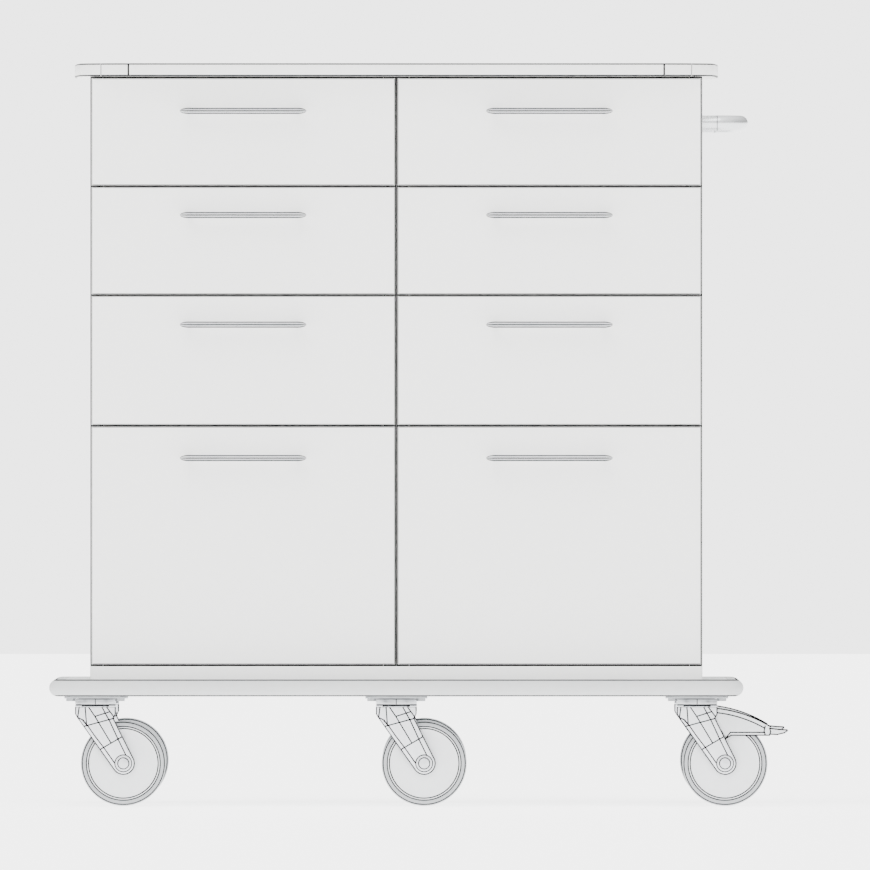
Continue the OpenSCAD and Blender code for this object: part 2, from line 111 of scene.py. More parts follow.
# Casters, measured from the swivel axis and up from the floor. A leg's bevel is its rings, each
# an inset of the outline and a distance from the wheel's middle plane.
TRAIL = 41 * MM
AXLE_Z = 62.5 * MM
LEG_IN = 19 * MM
LEG_OUT = 21.8 * MM
# The outer step of the bevel is near-black, painted shade that outlines the leg
LEG_BEVEL = ((0.0, LEG_IN), (0.0, LEG_OUT - 0.5 * MM), (1.8 * MM, LEG_OUT))
FOOT_Z = 129 * MM
FOOT_HALF = 26.5 * MM
FOOT_RISE = 6 * MM
LEG_DROP = 2.5 * MM
BOSS_R = 17 * MM
CROWN_Z = 145 * MM
HEAD_Z = 148 * MM
HEAD_TOP_Z = 157.7 * MM
HEAD_R = 30 * MM
HEAD_SEAM = 1.2 * MM
CROWN_IN = 0.2 * MM
CROWN_ROUND = 1.2 * MM

# Turned parts of the casters in millimetres: (radius, height above the floor) for the swivel
# head's cup, and (radius, distance from the wheel's middle plane) for all the others
HEAD_CUP = ((20.3, 148), (20.3, 157.5), (28.6, 157.5), (29.6, 157.2), (30, 156.4), (30, 149.4),
            (29.2, 148.6), (29.2, 147.2), (30, 146.4), (28.0, 145.2), (20.3, 145.2))
AXLE_HEAD = ((0.3, 19.0), (9, 19.0), (9, 24.8), (7.4, 25.2), (7.0, 25.6), (0.3, 25.8))
AXLE_WASHER = ((8.5, 21.5), (13.2, 21.5), (13.2, 22.3), (11.6, 22.5), (8.5, 22.5))
AXLE_SPACER = ((5.2, 16.4), (9, 16.4), (9, 18.9), (5.2, 18.9))
AXLE_R = 4.9 * MM
AXLE_CORE_R = 0.3 * MM
RIM_BORE = (5.3, 16)
HALF_RIM = ((13, 16), (15, 14.6), (17, 14), (44, 12.6), (49.3, 13), (50.2, 13.4), (50.3, 12.6),
            (52.0, 12.6), (52.1, 13.8), (53.0, 13.9), (53.4, 13.4), (53.5, 11))
RIM_GAP = ((53.2, -12.8), (55.2, -12.8), (55.2, 12.8), (53.2, 12.8))
HALF_TYRE = ((54.9, 11), (55.0, 14.4), (55.8, 14.9), (57.5, 15), (59.0, 14.6), (59.5, 14.3),
             (59.6, 13.5), (61.1, 12.7), (61.2, 12.6), (61.6, 11.4), (62.1, 8.5), (62.5, 4))

# Brake pedal: the middle and radius of its curved back, how far in its edge line and its fold
# run, and the degrees that each of the two covers
PEDAL_CENTRE = (9 * MM, -45 * MM)
PEDAL_R = 190 * MM
PEDAL_RUNS = ((0.8 * MM, 86, 58.5), (7 * MM, 84, 60.5))
PEDAL_HALF = 17.9 * MM
PEDAL_CREASES = (
    ((42, 99.8), (49, 108), (99, 108)),
    ((43, 99.5), (50, 103.8), (106, 103.8)),
    ((100, 104), (98.5, 110), (100, 117)),
    ((106.5, 104), (108, 109.5), (106.5, 114)),
    ((108, 105.3), (118, 104.9), (128, 107.3), (132.5, 110.2)),
    ((108, 113.6), (120, 112.3), (132, 111.6)),
)
# Strips of near-black painted shade along creases and folds: their width, and how far they stand proud and sink
CREASE_W = 1.9 * MM
CREASE_LIFT = 0.12 * MM
CREASE_SINK = 0.3 * MM
# Creases of the pressed leg, drawn as strips of painted shade: its two folds, the ridge between them,
# three cross creases, and the folds of its two top corners
LEG_CREASES = (
    ((-18, 125), (-11.5, 118), (-0.7, 102.5), (12, 86), (31, 59)),
    ((10, 144.5), (21, 124.5), (33, 98.5), (48, 68)),
    ((-9.5, 144.5), (-0.7, 131.5), (22.5, 93)),
    ((-16.5, 117), (26.5, 128.5)),
    ((-0.7, 131.5), (20, 138)),
    ((8, 83.5), (38, 101)),
    ((-24, 144.5), (-26, 130), (-18, 126), (-13, 119)),
    ((-15, 144.5), (-13, 119)),
    ((17, 144.5), (27, 131)),
)

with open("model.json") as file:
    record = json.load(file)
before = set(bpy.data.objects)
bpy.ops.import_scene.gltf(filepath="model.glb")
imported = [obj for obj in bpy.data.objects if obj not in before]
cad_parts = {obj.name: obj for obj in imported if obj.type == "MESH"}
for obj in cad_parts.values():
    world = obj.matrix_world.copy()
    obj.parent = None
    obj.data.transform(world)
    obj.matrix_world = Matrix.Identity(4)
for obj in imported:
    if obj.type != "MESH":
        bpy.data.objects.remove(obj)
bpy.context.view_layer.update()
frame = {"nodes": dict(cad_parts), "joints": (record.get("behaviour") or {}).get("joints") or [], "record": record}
NODES = frame["nodes"]
BODY_OF = {n: b for b, ns in frame["record"]["behaviour"]["bodies"].items() for n in ns}
DRAWERS = [f"{side}_{row}_drawer" for side in ("left", "right")
           for row in ("top", "upper", "middle", "bottom")]
CASTERS = [f"{end}_{place}" for end in ("front", "rear") for place in ("left", "centre", "right")]


# ---- Materials ----

def link(tree, a, a_socket, b, b_socket):
    tree.links.new(a.outputs[a_socket], b.inputs[b_socket])


def surface(name, colour, spread, rough, rough_spread, metallic=0.0, scale=60.0, stretch=(1, 1, 1),
            bump=0.05, bump_scale=400.0, specular=0.5):
    """A procedural finish: colour and roughness drift slowly, and a fine grain lifts the surface."""
    mat = bpy.data.materials.new(name)
    mat.use_nodes = True
    tree = mat.node_tree
    shader = tree.nodes["Principled BSDF"]
    shader.inputs["Metallic"].default_value = metallic
    shader.inputs["Specular IOR Level"].default_value = specular
    where = tree.nodes.new("ShaderNodeTexCoord")
    mapping = tree.nodes.new("ShaderNodeMapping")
    mapping.inputs["Scale"].default_value = stretch
    link(tree, where, "Object", mapping, "Vector")

    drift = tree.nodes.new("ShaderNodeTexNoise")
    drift.inputs["Scale"].default_value = scale
    drift.inputs["Detail"].default_value = 5.0
    link(tree, mapping, "Vector", drift, "Vector")
    ramp = tree.nodes.new("ShaderNodeValToRGB")
    low = [max(c - spread, 0.0) for c in colour]
    high = [min(c + spread, 1.0) for c in colour]
    ramp.color_ramp.elements[0].position = 0.3
    ramp.color_ramp.elements[0].color = (*low, 1)
    ramp.color_ramp.elements[1].position = 0.7
    ramp.color_ramp.elements[1].color = (*high, 1)
    link(tree, drift, "Fac", ramp, "Fac")
    link(tree, ramp, "Color", shader, "Base Color")

    shine = tree.nodes.new("ShaderNodeMapRange")
    shine.inputs["From Min"].default_value = 0.3
    shine.inputs["From Max"].default_value = 0.7
    shine.inputs["To Min"].default_value = rough - rough_spread
    shine.inputs["To Max"].default_value = rough + rough_spread
    link(tree, drift, "Fac", shine, "Value")
    link(tree, shine, "Result", shader, "Roughness")

    grain = tree.nodes.new("ShaderNodeTexNoise")
    grain.inputs["Scale"].default_value = bump_scale
    grain.inputs["Detail"].default_value = 3.0
    link(tree, mapping, "Vector", grain, "Vector")
    relief = tree.nodes.new("ShaderNodeBump")
    relief.inputs["Strength"].default_value = bump
    relief.inputs["Distance"].default_value = 0.0004
    link(tree, grain, "Fac", relief, "Height")
    link(tree, relief, "Normal", shader, "Normal")
    return mat


MATS = {
    "worktop": surface("worktop_laminate", (0.78, 0.78, 0.77), 0.012, 0.34, 0.05, scale=220,
                       bump=0.12, bump_scale=900),
    "trim": surface("worktop_trim", (0.72, 0.72, 0.71), 0.01, 0.38, 0.04, scale=80),
    "board": surface("cabinet_laminate", (0.76, 0.76, 0.75), 0.010, 0.42, 0.04, scale=160,
                     bump=0.10, bump_scale=1100),
    "front": surface("front_laminate", (0.80, 0.80, 0.79), 0.008, 0.36, 0.04, scale=160,
                     bump=0.08, bump_scale=1100),
    "band": surface("edge_band", (0.012, 0.012, 0.013), 0.002, 0.5, 0.05, scale=120, specular=0.15),
    "inside": surface("drawer_laminate", (0.66, 0.66, 0.64), 0.012, 0.5, 0.05, scale=200),
    "base": surface("base_laminate", (0.60, 0.61, 0.61), 0.012, 0.45, 0.05, scale=150),
    "bumper": surface("bumper_rubber", (0.46, 0.47, 0.47), 0.012, 0.62, 0.05, scale=90,
                      bump=0.15, bump_scale=700),
    "tube": surface("handle_steel", (0.60, 0.61, 0.62), 0.04, 0.28, 0.07, metallic=1.0, scale=30,
                    stretch=(30, 1, 30), bump=0.05),
    "pull": surface("pull_steel", (0.55, 0.56, 0.57), 0.04, 0.27, 0.06, metallic=1.0, scale=30,
                    stretch=(1, 30, 30), bump=0.05),
    "zinc": surface("caster_zinc", (0.62, 0.63, 0.65), 0.05, 0.36, 0.08, metallic=1.0, scale=120,
                    bump=0.06, bump_scale=500),
    "plate": surface("plate_zinc", (0.30, 0.31, 0.32), 0.04, 0.4, 0.07, metallic=1.0, scale=120),
    # Near-black painted shade, laid as strips and rings along folds, grooves, seams, ridges and edges
    "crease": surface("seam_shadow", (0.008, 0.008, 0.009), 0.002, 0.7, 0.05, scale=150, specular=0.1),
    "runner": surface("runner_zinc", (0.58, 0.59, 0.61), 0.04, 0.36, 0.07, metallic=1.0, scale=60,
                      stretch=(8, 1, 8), bump=0.04),
    "screw": surface("fastener_zinc", (0.6, 0.61, 0.63), 0.05, 0.3, 0.08, metallic=1.0, scale=200),
    "tyre": surface("tyre_rubber", (0.33, 0.34, 0.35), 0.02, 0.7, 0.06, scale=120, bump=0.2,
                    bump_scale=600),
    "rim": surface("wheel_rim", (0.68, 0.69, 0.70), 0.012, 0.42, 0.05, scale=110, bump=0.08),
    "pedal": surface("pedal_coat", (0.60, 0.61, 0.62), 0.015, 0.42, 0.06, scale=150, bump=0.15,
                     bump_scale=900),
}


# ---- Mesh helpers ----

def add_to_scene(obj):
    bpy.context.scene.collection.objects.link(obj)


def piece(name, bm, body, mats, nodes=(), smooth_deg=32):
    """Turns a bmesh into an object that rides on a body, with smooth shading below an angle."""
    bmesh.ops.recalc_face_normals(bm, faces=bm.faces)
    for face in bm.faces:
        face.smooth = True
    for edge in bm.edges:
        if len(edge.link_faces) == 2:
            edge.smooth = edge.calc_face_angle(0.0) < math.radians(smooth_deg)
    mesh = bpy.data.meshes.new(name)
    bm.to_mesh(mesh)
    bm.free()
    obj = bpy.data.objects.new(name, mesh)
    add_to_scene(obj)
    for mat in mats:
        mesh.materials.append(MATS[mat])
    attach(obj, body)
    if nodes:
        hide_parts(*nodes)


def add_box(bm, lo, hi, r=0.0, mat=0):
    """A box with every edge rounded by r."""
    made = bmesh.ops.create_cube(bm, size=1.0)["verts"]
    lo, hi = Vector(lo), Vector(hi)
    for v in made:
        v.co = Vector(((lo[i] + hi[i]) / 2 + v.co[i] * (hi[i] - lo[i])) for i in range(3))
        for face in v.link_faces:
            face.material_index = mat
    if r:
        edges = list(dict.fromkeys(e for v in made for e in v.link_edges))
        bmesh.ops.bevel(bm, geom=edges, offset=r, segments=2, profile=0.5, affect="EDGES",
                        clamp_overlap=True)


def add_ring_surface(bm, rings, closed_path=False, mat=0, marks=()):
    """Joins rings of points, each a closed loop, into a tube. Marked steps of the loop get mat 1."""
    loops = [[bm.verts.new(p) for p in ring] for ring in rings]
    pairs = list(zip(loops, loops[1:]))
    if closed_path:
        pairs.append((loops[-1], loops[0]))
    for a, b in pairs:
        for i in range(len(a)):
            j = (i + 1) % len(a)
            face = bm.faces.new((a[i], a[j], b[j], b[i]))
            face.material_index = 1 if i in marks else mat
    if not closed_path:
        for loop in (loops[0], loops[-1]):
            bm.faces.new(loop).material_index = mat


def add_lathe(bm, profile, centre, axis="Y", segments=96, mat=0, marks=()):
    """Turns a closed profile of (radius, offset along the axis) points about an axis."""
    rings = []
    for k in range(segments):
        a = 2 * math.pi * k / segments
        ring = []
        for r, t in profile:
            if axis == "Y":
                offset = Vector((r * math.cos(a), t, r * math.sin(a)))
            elif axis == "X":
                offset = Vector((t, r * math.cos(a), r * math.sin(a)))
            else:
                offset = Vector((r * math.cos(a), r * math.sin(a), t))
            ring.append(Vector(centre) + offset)
        rings.append(ring)
    add_ring_surface(bm, rings, closed_path=True, mat=mat, marks=marks)


def add_turned(bm, profile_mm, centre, side=1, **how):
    """A lathe of a profile in millimetres, mirrored along its axis where side is -1."""
    add_lathe(bm, [(r * MM, side * t * MM) for r, t in profile_mm], centre, **how)


def arc(cx, cz, r, a0, a1, n):
    """Points on an arc, angles in degrees."""
    return [(cx + r * math.cos(math.radians(a0 + (a1 - a0) * i / n)),
             cz + r * math.sin(math.radians(a0 + (a1 - a0) * i / n))) for i in range(n + 1)]


# ---- Camera, light and floor ----

def camera():
    lo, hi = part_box("plinth_panel")
    front_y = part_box("left_top_drawer_front")[0].y
    data = bpy.data.cameras.new("camera")
    data.sensor_width = SENSOR
    data.lens = SENSOR * CAMERA_DISTANCE / VIEW_WIDTH
    data.clip_start = CLIP_START
    data.clip_end = 2 * CAMERA_DISTANCE
    cam = bpy.data.objects.new("camera", data)
    cam.location = ((lo.x + hi.x) / 2 + VIEW_CENTRE_FROM_BODY, front_y - CAMERA_DISTANCE,
                    VIEW_CENTRE_Z)
    cam.rotation_euler = (math.radians(90), 0, 0)
    add_to_scene(cam)
    bpy.context.scene.camera = cam


def room():
    """The world's brightness is the sum of two ramps, by a direction's Y and by its Z."""
    world = bpy.data.worlds.new("studio")
    world.use_nodes = True
    tree = world.node_tree
    back = tree.nodes["Background"]
    back.inputs["Color"].default_value = (1, 1, 1, 1)
    where = tree.nodes.new("ShaderNodeTexCoord")
    split = tree.nodes.new("ShaderNodeSeparateXYZ")
    link(tree, where, "Generated", split, "Vector")
    total = tree.nodes.new("ShaderNodeMath")
    total.operation = "ADD"
    for slot, (axis, stops) in enumerate((("Y", ROOM_BY_Y), ("Z", ROOM_BY_Z))):
        # From -1..1 to the ramp's 0..1
        half = tree.nodes.new("ShaderNodeMath")
        half.operation = "MULTIPLY_ADD"
        half.inputs[1].default_value = 0.5
        half.inputs[2].default_value = 0.5
        link(tree, split, axis, half, 0)
        ramp = tree.nodes.new("ShaderNodeValToRGB")
        for _ in stops[2:]:
            ramp.color_ramp.elements.new(0.9)
        for element, (place, value) in zip(ramp.color_ramp.elements, stops):
            element.position = (place + 1) / 2
            element.color = (value, value, value, 1)
        link(tree, half, "Value", ramp, "Fac")
        link(tree, ramp, "Color", total, slot)
    link(tree, total, "Value", back, "Strength")
    bpy.context.scene.world = world


def sun():
    lamp = bpy.data.lights.new("sun", "SUN")
    lamp.energy = SUN
    lamp.angle = math.radians(SUN_ANGLE)
    obj = bpy.data.objects.new("sun", lamp)
    obj.rotation_mode = "QUATERNION"
    obj.rotation_quaternion = Vector(SUN_TOWARDS).to_track_quat("-Z", "Y")
    add_to_scene(obj)


def floor():
    """A plain pale floor, with a glow of its own so that it is as pale as the room behind it."""
    bm = bmesh.new()
    bmesh.ops.create_grid(bm, x_segments=1, y_segments=1, size=FLOOR_HALF)
    mesh = bpy.data.meshes.new("floor")
    bm.to_mesh(mesh)
    bm.free()
    obj = bpy.data.objects.new("floor", mesh)
    obj.location.z = -FLOOR_DROP
    mat = surface("floor_paper", (0.93, 0.93, 0.93), 0.004, 0.7, 0.02, scale=3, bump=0.02)
    shader = mat.node_tree.nodes["Principled BSDF"]
    shader.inputs["Emission Color"].default_value = (1, 1, 1, 1)
    shader.inputs["Emission Strength"].default_value = FLOOR_GLOW
    mesh.materials.append(mat)
    add_to_scene(obj)


# ---- Boards ----

# Edges of a board, each an axis and an end
FRONT_EDGE = ((1, 0),)
TOP_EDGE = ((2, 1),)
END_EDGES = ((0, 0), (0, 1))
FOUR_EDGES = ((0, 0), (0, 1), (2, 0), (2, 1))


def add_board(bm, lo, hi, edges):
    """A board whose chosen edges carry an edge band of the second material, a thin slab each."""
    core_lo, core_hi = Vector(lo), Vector(hi)
    for axis, end in edges:
        band_lo, band_hi = core_lo.copy(), core_hi.copy()
        if end == 0:
            core_lo[axis] += EDGE_BAND
            band_hi[axis] = core_lo[axis]
        else:
            core_hi[axis] -= EDGE_BAND
            band_lo[axis] = core_hi[axis]
        add_box(bm, band_lo, band_hi, BAND_ROUND, 1)
    add_box(bm, core_lo, core_hi)


def loose_parts(bm):
    """The separate solids of a welded mesh, as lists of vertices."""
    seen = set()
    parts = []
    for start in bm.verts:
        if start in seen:
            continue
        stack = [start]
        seen.add(start)
        part = []
        while stack:
            v = stack.pop()
            part.append(v)
            for e in v.link_edges:
                w = e.other_vert(v)
                if w not in seen:
                    seen.add(w)
                    stack.append(w)
        parts.append(part)
    return parts


def box_of(verts):
    lo = Vector(min(v.co[i] for v in verts) for i in range(3))
    hi = Vector(max(v.co[i] for v in verts) for i in range(3))
    return lo, hi


def loose_boxes(node):
    """The box of every separate solid in a CAD node."""
    bm = bmesh.new()
    bm.from_mesh(NODES[node].data)
    bmesh.ops.remove_doubles(bm, verts=bm.verts, dist=1e-6)
    boxes = [box_of(part) for part in loose_parts(bm)]
    bm.free()
    return boxes


def boards(name, node, edges, mats):
    bm = bmesh.new()
    for lo, hi in loose_boxes(node):
        add_board(bm, lo, hi, edges)
    piece(name, bm, BODY_OF[node], mats, [node])


def cabinet():
    for node in ("left_outer_side", "right_outer_side", "inner_sides"):
        boards(node + "_board", node, FRONT_EDGE, ("board", "band"))
    boards("plinth_board", "plinth_panel", END_EDGES, ("board", "trim"))
    boards("module_bottom_boards", "module_bottoms", FRONT_EDGE, ("inside", "band"))
    boards("module_back_boards", "module_backs", TOP_EDGE, ("board", "trim"))
    boards("top_rail_boards", "top_rails", FRONT_EDGE, ("inside", "band"))


# ---- Worktop ----

def worktop_outline(inset, half_l, half_d):
    """A quarter of the plan, from the middle of the end to the straight front: bow, tight, wide."""
    wide_at, tight_at, bow = TOP_STATIONS
    tight_r = TOP_TIGHT_R
    bow_half = half_d - TOP_BOW_END
    bow_r = (bow_half ** 2 + bow ** 2) / (2 * bow)
    bow_turn = math.asin(bow_half / bow_r)
    wide_turn = math.asin(math.cos(bow_turn) - (tight_at - bow) / tight_r)
    wide_r = (wide_at - tight_at) / math.sin(wide_turn)
    tight_x = half_l - tight_at - tight_r * math.sin(wide_turn)
    tight_y = half_d - wide_r * (1 - math.cos(wide_turn)) - tight_r * math.cos(wide_turn)
    bow_start = math.asin((tight_y + tight_r * math.sin(bow_turn)) / bow_r)
    deg = math.degrees
    end = arc(half_l - bow_r, 0, bow_r - inset, 0, deg(bow_start), 8)
    tight = arc(tight_x, tight_y, tight_r - inset, deg(bow_turn), 90 - deg(wide_turn), 16)
    wide = arc(half_l - wide_at, half_d - wide_r, wide_r - inset, 90 - deg(wide_turn), 90, 8)
    return end, tight, wide


def add_slab(bm, outline, z0, z1):
    """A flat slab with the second material on its sides."""
    a = [bm.verts.new((x, y, z0)) for x, y in outline]
    b = [bm.verts.new((x, y, z1)) for x, y in outline]
    n = len(outline)
    bm.faces.new(list(reversed(a)))
    bm.faces.new(b)
    for i in range(n):
        j = (i + 1) % n
        bm.faces.new((a[i], a[j], b[j], b[i])).material_index = 1


def flipped(points, sx, sy):
    return [(sx * x, sy * y) for x, y in points]


def across(points):
    """A run from the middle of an end, made whole with its mirror image over y = 0."""
    return [(x, -y) for x, y in reversed(points)][:-1] + points


def shorten(line, gap):
    """Takes a little off both ends of a run of points, along its first and last steps."""
    def cut(a, b):
        t = min(gap / math.dist(a, b), 0.45)
        return (a[0] + (b[0] - a[0]) * t, a[1] + (b[1] - a[1]) * t)
    return [cut(line[0], line[1])] + line[1:-1] + [cut(line[-1], line[-2])]


def trim_runs(outer, core, half_d):
    """The runs of the edge strip, each an outer and an inner line: straights, corners and ends."""
    straight = outer[2][-1][0] - TRIM_GAP / 2
    runs = []
    for sy in (1, -1):
        runs.append([[(straight, sy * y), (-straight, sy * y)] for y in (half_d, half_d - TRIM_T)])
        for sx in (1, -1):
            for k in (1, 2):
                runs.append([flipped(plan[k], sx, sy) for plan in (outer, core)])
    for sx in (1, -1):
        runs.append([flipped(across(plan[0]), sx, 1) for plan in (outer, core)])
    return runs


def trim_section(outside, inside, lo_z, hi_z):
    """One section of the edge strip, with both outer edges rounded."""
    o, i = Vector((*outside, 0)), Vector((*inside, 0))
    n = (o - i).normalized()
    ring = [i + Vector((0, 0, lo_z)), i + Vector((0, 0, hi_z))]
    for z, sign, turn in ((hi_z, -1, reversed(TRIM_TURN)), (lo_z, 1, TRIM_TURN)):
        for a in turn:
            c, s = math.cos(math.radians(a)), math.sin(math.radians(a))
            rise = sign * TRIM_ROUND * (1 - s)
            ring.append(o - n * TRIM_ROUND * (1 - c) + Vector((0, 0, z + rise)))
    return ring


def worktop():
    lo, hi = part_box("worktop")
    x_mid = (lo.x + hi.x) / 2
    half_l, half_d = (hi.x - lo.x) / 2, (hi.y - lo.y) / 2
    core = worktop_outline(TRIM_T, half_l, half_d)
    outer = worktop_outline(0.0, half_l, half_d)
    quarter = core[0] + core[1][1:] + core[2][1:]
    back = list(reversed(quarter))
    loop = (quarter + flipped(back, -1, 1) + flipped(quarter[1:], -1, -1)
            + flipped(back, 1, -1)[:-1])
    bm = bmesh.new()
    add_slab(bm, [(x + x_mid, y) for x, y in loop], lo.z, hi.z)
    piece("worktop_slab", bm, "cabinet", ("worktop", "band"), ["worktop"])

    bm = bmesh.new()
    for run in trim_runs(outer, core, half_d):
        lines = [[(x + x_mid, y) for x, y in shorten(line, TRIM_GAP / 2)] for line in run]
        rings = [trim_section(o, i, lo.z, hi.z) for o, i in zip(*lines)]
        add_ring_surface(bm, rings, marks=(2, 3, 4, 6, 7, 8))
    piece("worktop_trim", bm, "cabinet", ("trim", "band"))


# ---- Bumper ----

def bumper():
    """A half-round nose on a lipped strip, swept round the base. Its two dark lines are painted shade."""
    lo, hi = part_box("base_bumper")
    core_lo, core_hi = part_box("base_board")
    nose, mid_z = (hi.z - lo.z) / 2, (hi.z + lo.z) / 2
    width = hi.x - core_hi.x
    path = []
    for qx, qy, a0 in ((1, 1, 0), (-1, 1, 90), (-1, -1, 180), (1, -1, 270)):
        cx = core_hi.x - BASE_CORNER if qx > 0 else core_lo.x + BASE_CORNER
        cy = core_hi.y - BASE_CORNER if qy > 0 else core_lo.y + BASE_CORNER
        for k in range(CORNER_STEPS + 1):
            a = math.radians(a0 + 90 * k / CORNER_STEPS)
            path.append((Vector((cx, cy, 0)), Vector((math.cos(a), math.sin(a), 0))))
    flat = width - nose
    turns = [math.radians(a) for a in NOSE_TURN]
    section = [(BUMPER_ROOT, -nose), (flat, -nose)]
    section += [(flat + nose * math.cos(a), nose * math.sin(a)) for a in turns]
    section += [(flat, nose), (BUMPER_ROOT + BUMPER_LIP, nose), (BUMPER_ROOT, nose - BUMPER_LIP)]
    rings = [[c + n * (BASE_CORNER + s) + Vector((0, 0, mid_z + z)) for s, z in section]
             for c, n in path]
    bm = bmesh.new()
    add_ring_surface(bm, rings, closed_path=True, marks=(2, len(turns)))
    piece("base_bumper_strip", bm, "cabinet", ("bumper", "crease"), ["base_bumper"])


# ---- Drawers ----

def drawer_front(name):
    node = name + "_front"
    lo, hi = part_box(node)
    bm = bmesh.new()
    frame_y = lo.y + FRONT_FRAME
    add_board(bm, lo, (hi.x, frame_y, hi.z), FOUR_EDGES)
    add_box(bm, (lo.x, frame_y, lo.z), hi, BAND_ROUND)
    piece(node + "_board", bm, name, ("front", "band"), [node])


def pull_section(x, y, z, k):
    """A section of the bar at (x, y, z), drawn in to the share k of its full size."""
    h = PULL_H / 2 * k
    ridge = y + (1 - k) * PULL_BAR_D * 0.5
    edge = ridge + PULL_RIDGE * k
    back = y + PULL_BAR_D - (1 - k) * PULL_BAR_D * 0.3
    top = [(ridge, 0.75 * MM * k), (edge, h - 1.5 * MM * k), (edge + 0.4 * MM * k, h),
           (back - 1.0 * MM * k, h), (back, h * 0.7)]
    return ([Vector((x, py, z + pz)) for py, pz in top]
            + [Vector((x, py, z - pz)) for py, pz in reversed(top)])


def drawer_pull(name):
    """A bow pull: a bar with a ridge along its front and pointed oval ends, on two posts."""
    node = name + "_pull"
    lo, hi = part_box(node)
    front_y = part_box(name + "_front")[0].y
    x_mid, z_mid = (lo.x + hi.x) / 2, (lo.z + hi.z) / 2
    half_l = (hi.x - lo.x) / 2
    end = [-half_l + PULL_END_RUN * (1 - math.cos(math.radians(a))) for a in range(0, 91, 10)]
    rings = []
    for x in end + [-x for x in reversed(end)]:
        t = min((half_l - abs(x)) / PULL_END_RUN, 1.0)
        k = max(math.sqrt(max(1 - (1 - t) ** 2, 0.0)), PULL_TIP)
        rings.append(pull_section(x_mid + x, lo.y, z_mid, k))
    bm = bmesh.new()
    # The near-black strips along the ridge and the top and bottom edges are painted shade
    add_ring_surface(bm, rings, marks=(1, 7, 9))
    r, flared = PULL_POST_R, PULL_POST_R + PULL_FLARE
    post = [(PULL_CORE_R, lo.y + PULL_BAR_D - PULL_POST_IN), (r, lo.y + PULL_BAR_D - PULL_POST_IN),
            (r, front_y - 2 * MM), (flared, front_y - 0.6 * MM), (flared, front_y),
            (PULL_CORE_R, front_y)]
    places = [x_mid + side * PULL_PITCH / 2 for side in (-1, 1)]
    for x in places:
        add_lathe(bm, post, (x, 0, z_mid), segments=32)
    for x in places:
        add_turned(bm, PULL_SCREW, (x, hi.y, z_mid), segments=24)
    piece(node + "_bar", bm, name, ("pull", "crease"), [node], smooth_deg=25)


def drawer_box(name):
    """The boards of the box get edge bands; the runner members on its sides keep their CAD shape."""
    node = name + "_box"
    bm = bmesh.new()
    bm.from_mesh(NODES[node].data)
    bmesh.ops.remove_doubles(bm, verts=bm.verts, dist=1e-6)
    slabs = []
    for part in loose_parts(bm):
        lo, hi = box_of(part)
        if hi.x - lo.x < RUNNER_MAX_T and hi.z - lo.z < RUNNER_MAX_H:
            for v in part:
                for face in v.link_faces:
                    face.material_index = 2
        else:
            slabs.append((lo, hi))
            bmesh.ops.delete(bm, geom=part, context="VERTS")
    for lo, hi in slabs:
        add_board(bm, lo, hi, TOP_EDGE)
    piece(node + "_boards", bm, name, ("inside", "trim", "runner"), [node])


def drawers():
    for name in DRAWERS:
        drawer_front(name)
        drawer_pull(name)
        drawer_box(name)


# ---- Push handle ----

def push_handle():
    lo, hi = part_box("push_handle")
    y_mid, z = (lo.y + hi.y) / 2, (lo.z + hi.z) / 2
    bend_x = hi.x - TUBE_R - TUBE_BEND
    half = TUBE_PITCH / 2
    # Points of the path with their direction: one end, its bend, and both mirrored
    path = [(lo.x, -half, 1, 0)]
    for k in range(BEND_STEPS + 1):
        a = math.radians(-90 + 90 * k / BEND_STEPS)
        path.append((bend_x + TUBE_BEND * math.cos(a), -half + TUBE_BEND + TUBE_BEND * math.sin(a),
                     -math.sin(a), math.cos(a)))
    path += [(x, -y, -dx, dy) for x, y, dx, dy in reversed(path)]
    turn = [2 * math.pi * k / TUBE_SIDES for k in range(TUBE_SIDES)]
    rings = []
    for x, y, dx, dy in path:
        side = Vector((dy, -dx, 0)).normalized()
        rings.append([Vector((x, y + y_mid, z)) + side * TUBE_R * math.cos(a)
                      + Vector((0, 0, TUBE_R * math.sin(a))) for a in turn])
    bm = bmesh.new()
    add_ring_surface(bm, rings)
    # A near-black ring of painted shade where each bend starts
    inner, outer = TUBE_R - SEAM_SINK, TUBE_R + SEAM_LIFT
    seam = [(inner, 0), (outer, 0), (outer, SEAM), (inner, SEAM)]
    for side in (-1, 1):
        add_lathe(bm, seam, (bend_x, y_mid + side * half, z), axis="X", segments=TUBE_SIDES, mat=1)
    piece("push_handle_tube", bm, "cabinet", ("tube", "crease"), ["push_handle"])


# ---- Casters ----

def swivel_axis(name):
    joint = next(j for j in frame["joints"] if j["name"] == name + "_swivel")
    return joint["pos_m"][0], joint["pos_m"][1]


def tangent_angle(p, c, r, side):
    """The place, in degrees, where a line from p touches the circle of radius r about c."""
    dx, dz = p[0] - c[0], p[1] - c[1]
    return math.degrees(math.atan2(dz, dx) + side * math.acos(r / math.hypot(dx, dz)))


def leg_outline(inset):
    """The fork leg seen from the side, about the swivel axis, pulled in all round by inset."""
    half = FOOT_HALF - inset
    r = BOSS_R - inset
    a_left = tangent_angle((-half, FOOT_Z), (TRAIL, AXLE_Z), r, 1)
    a_right = tangent_angle((half, FOOT_Z), (TRAIL, AXLE_Z), r, -1)
    top = HEAD_Z - LEG_DROP - inset * 0.4
    crown = HEAD_R - inset
    points = [(-crown, top), (-crown, FOOT_Z + FOOT_RISE), (-half, FOOT_Z)]
    points += arc(TRAIL, AXLE_Z, r, a_left, a_right + 360, 20)
    points += [(half, FOOT_Z), (crown, FOOT_Z + FOOT_RISE), (crown, top)]
    return points


